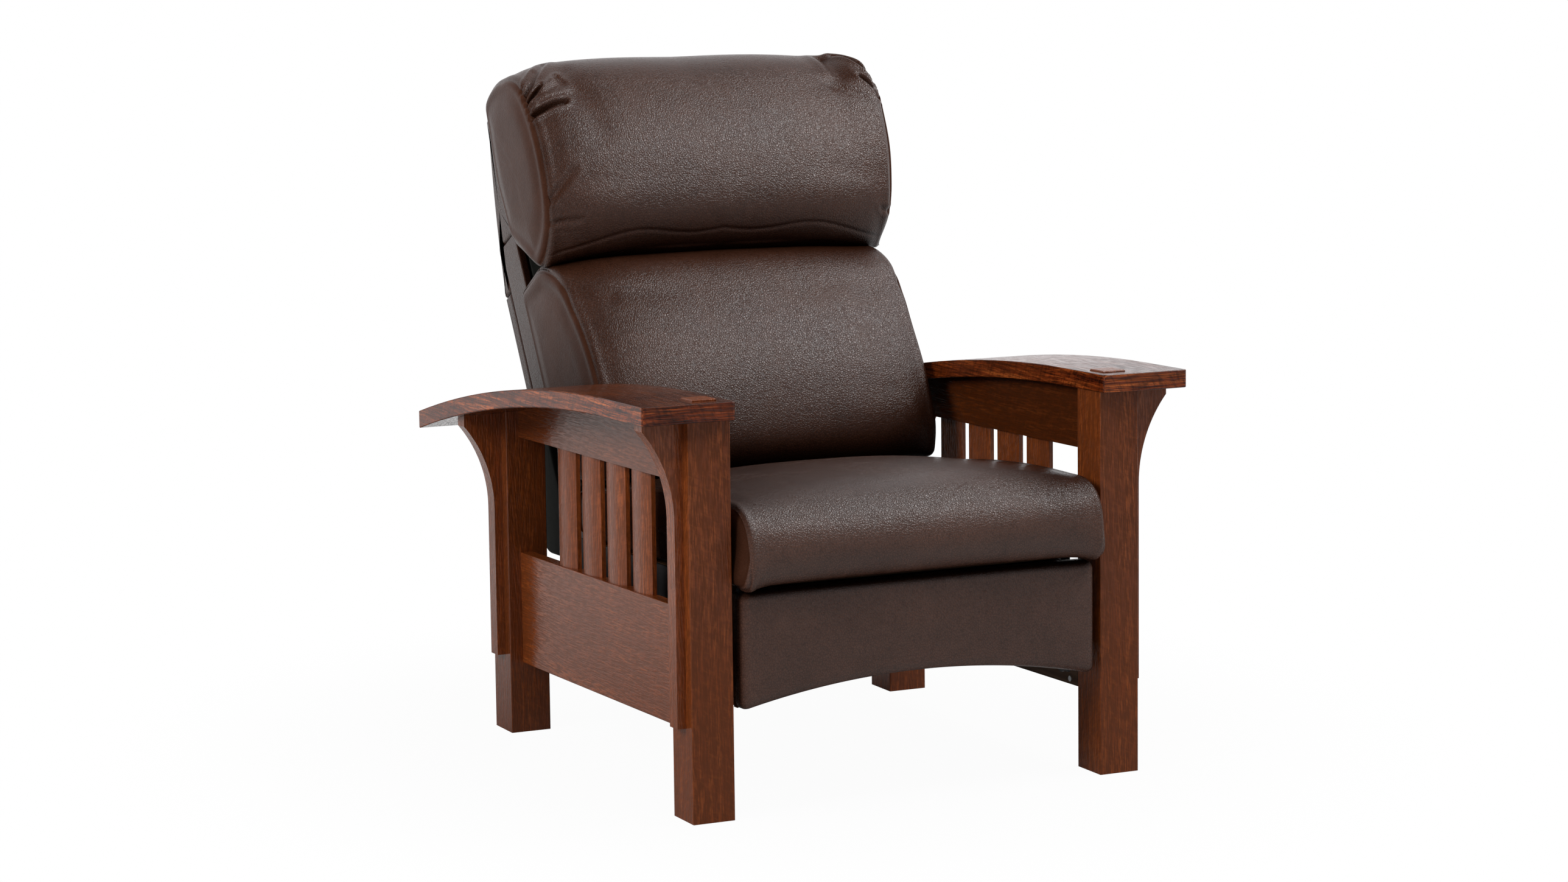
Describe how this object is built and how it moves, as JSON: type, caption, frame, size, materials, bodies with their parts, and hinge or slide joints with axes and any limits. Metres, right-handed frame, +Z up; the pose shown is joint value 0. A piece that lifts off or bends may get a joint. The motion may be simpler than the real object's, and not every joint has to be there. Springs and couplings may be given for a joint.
{
  "type": "recliner_chair",
  "caption": "Mission style reclining armchair with bowed oak arms, slatted sides, dark brown leather cushions, a tilting back and a pop-out footrest.",
  "frame": {"origin": "Centre of the chair's bounding box on the floor, under the seat", "axes": "+X is the sitter's left, seen on the right from the front; -Y is forward; +Z is up"},
  "size_m": [0.9352, 1.051, 1.0903],
  "materials": {
    "oak": "satin reddish-brown stained oak",
    "frame_wood": "plain sawn hardwood",
    "leather": "pebbled dark brown leather",
    "lining_cloth": "dark woven lining",
    "nylon": "natural nylon",
    "zinc_steel": "zinc plated steel",
    "black_steel": "black enamelled steel"
  },
  "bodies": {
    "frame": {"front_post_right": "oak", "front_post_left": "oak", "rear_post_right": "oak", "rear_post_left": "oak", "arm_right": "oak", "arm_left": "oak", "lower_rail_right": "oak", "lower_rail_left": "oak", "upper_rail_right": "oak", "upper_rail_left": "oak", "slats_right": "oak", "slats_left": "oak", "front_corbel_right": "oak", "front_corbel_left": "oak", "rear_corbel_right": "oak", "rear_corbel_left": "oak", "rear_rail": "oak", "front_stretcher": "frame_wood", "cleat_right": "frame_wood", "cleat_left": "frame_wood", "track_right": "black_steel", "track_left": "black_steel", "track_screws": "zinc_steel", "cleat_screws": "zinc_steel"},
    "carriage": {"side_plate_right": "black_steel", "side_plate_left": "black_steel", "guide_plates": "black_steel", "glide_shoes": "nylon", "carriage_bolts": "zinc_steel", "seat_side_rails": "frame_wood", "seat_front_rail": "frame_wood", "seat_rear_rail": "frame_wood", "seat_front_board": "frame_wood", "carriage_cross_tube": "black_steel", "seat_springs": "zinc_steel", "spring_clips": "black_steel", "seat_cushion": "leather"},
    "drive_link": {"drive_links": "black_steel", "drive_pins": "zinc_steel", "drive_tube": "black_steel"},
    "cross_link": {"cross_links": "black_steel", "cross_pins": "zinc_steel"},
    "control_link": {"control_links": "black_steel"},
    "footrest": {"footrest_brackets": "black_steel", "footrest_pins": "zinc_steel", "footrest_board": "frame_wood", "footrest_pad": "leather", "footrest_screws": "zinc_steel"},
    "back": {"back_posts": "frame_wood", "back_rails": "frame_wood", "back_deck": "frame_wood", "back_brackets": "black_steel", "back_pivot_pins": "zinc_steel", "back_side_right": "leather", "back_side_left": "leather", "outside_back_lower": "leather", "outside_back_upper": "leather", "back_tail_lining": "lining_cloth", "lumbar_cushion": "leather", "head_pillow": "leather"}
  },
  "joints": [
    {"name": "carriage_slide", "type": "slide", "parent": "frame", "child": "carriage", "axis": [0, -0.9998, 0.0206], "range_m": [0, 0.09]},
    {"name": "drive_pivot", "type": "hinge", "parent": "carriage", "child": "drive_link", "pos_m": [0, -0.41706, 0.32741], "axis": [-1, 0, 0], "range_deg": [0, 80]},
    {"name": "scissor_pivot", "type": "hinge", "parent": "drive_link", "child": "cross_link", "pos_m": [0, -0.42568, 0.24787], "axis": [-1, 0, 0], "range_deg": [-160, 0]},
    {"name": "control_pivot", "type": "hinge", "parent": "drive_link", "child": "control_link", "pos_m": [0, -0.43429, 0.16834], "axis": [-1, 0, 0], "range_deg": [-160, 0]},
    {"name": "footrest_pivot", "type": "hinge", "parent": "cross_link", "child": "footrest", "pos_m": [0, -0.43101, 0.32769], "axis": [-1, 0, 0], "range_deg": [0, 160]},
    {"name": "back_recline", "type": "hinge", "parent": "carriage", "child": "back", "pos_m": [0, 0.13884, 0.31696], "axis": [-1, 0, 0], "range_deg": [0, 28], "stiffness_Nm_per_rad": 115, "springref_deg": -25.78}
  ],
  "couplings": [
    {"joint": "drive_pivot", "follows": "carriage_slide", "rad_per_m": 15.514},
    {"joint": "scissor_pivot", "follows": "carriage_slide", "rad_per_m": -31.028},
    {"joint": "control_pivot", "follows": "carriage_slide", "rad_per_m": -31.028},
    {"joint": "footrest_pivot", "follows": "carriage_slide", "rad_per_m": 31.028}
  ]
}
